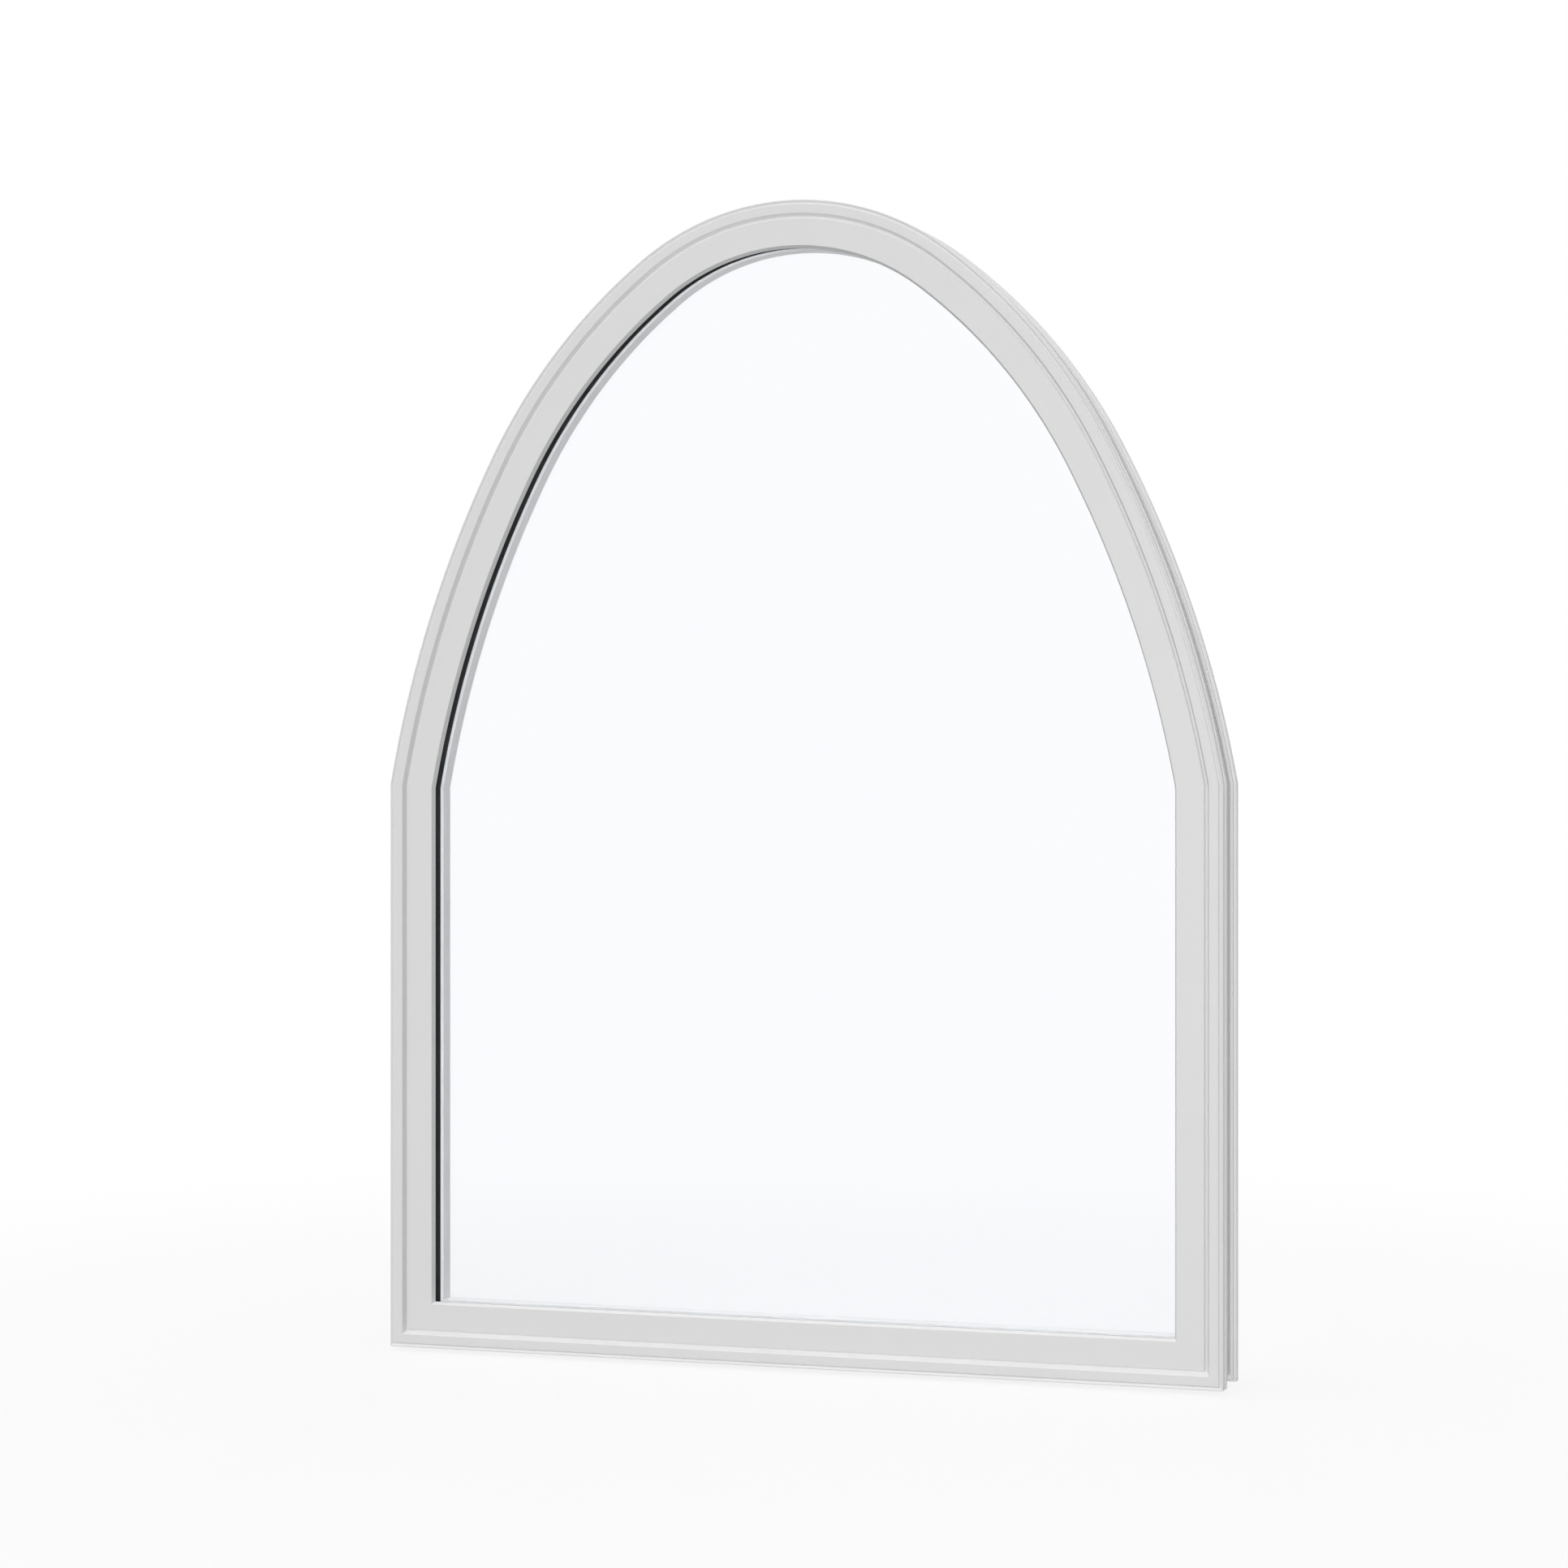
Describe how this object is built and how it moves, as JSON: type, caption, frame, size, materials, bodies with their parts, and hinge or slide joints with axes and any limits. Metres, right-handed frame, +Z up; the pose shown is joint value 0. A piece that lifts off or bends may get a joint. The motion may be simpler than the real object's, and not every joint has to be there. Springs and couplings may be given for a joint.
{
  "type": "arched top window frame",
  "caption": "Fixed window with a tall arched head: white plastic frame and sash, welded at the corners, around a sealed glass unit with a dark spacer and room side beads.",
  "frame": {"origin": "underside of the sill's back flange, at the middle of its length and thickness", "axes": "+Z up, +X to the right seen from outside, +Y into the wall towards the room; the weather side faces -Y"},
  "size_m": [0.9084, 0.0878, 1.2264],
  "materials": {
    "white_profile": "smooth white extrusion, satin to semi-gloss",
    "clear_glass": "clear float glass",
    "black_gasket": "matt black gasket",
    "pale_gasket": "pale co-extruded gasket",
    "black_spacer": "matt black warm edge spacer"
  },
  "bodies": {
    "root": {"frame_sill": "white_profile", "frame_left_jamb": "white_profile", "frame_right_jamb": "white_profile", "frame_arch_head": "white_profile", "sash_bottom_rail": "white_profile", "sash_left_stile": "white_profile", "sash_right_stile": "white_profile", "sash_arch_rail": "white_profile", "bead_bottom": "white_profile", "bead_left": "white_profile", "bead_right": "white_profile", "bead_arch": "white_profile", "outer_gasket_bottom": "black_gasket", "outer_gasket_left": "black_gasket", "outer_gasket_right": "black_gasket", "outer_gasket_arch": "black_gasket", "inner_gasket_bottom": "pale_gasket", "inner_gasket_left": "pale_gasket", "inner_gasket_right": "pale_gasket", "inner_gasket_arch": "pale_gasket", "spacer_bottom": "black_spacer", "spacer_left": "black_spacer", "spacer_right": "black_spacer", "spacer_arch": "black_spacer", "outer_glass_pane": "clear_glass", "inner_glass_pane": "clear_glass"}
  },
  "joints": []
}
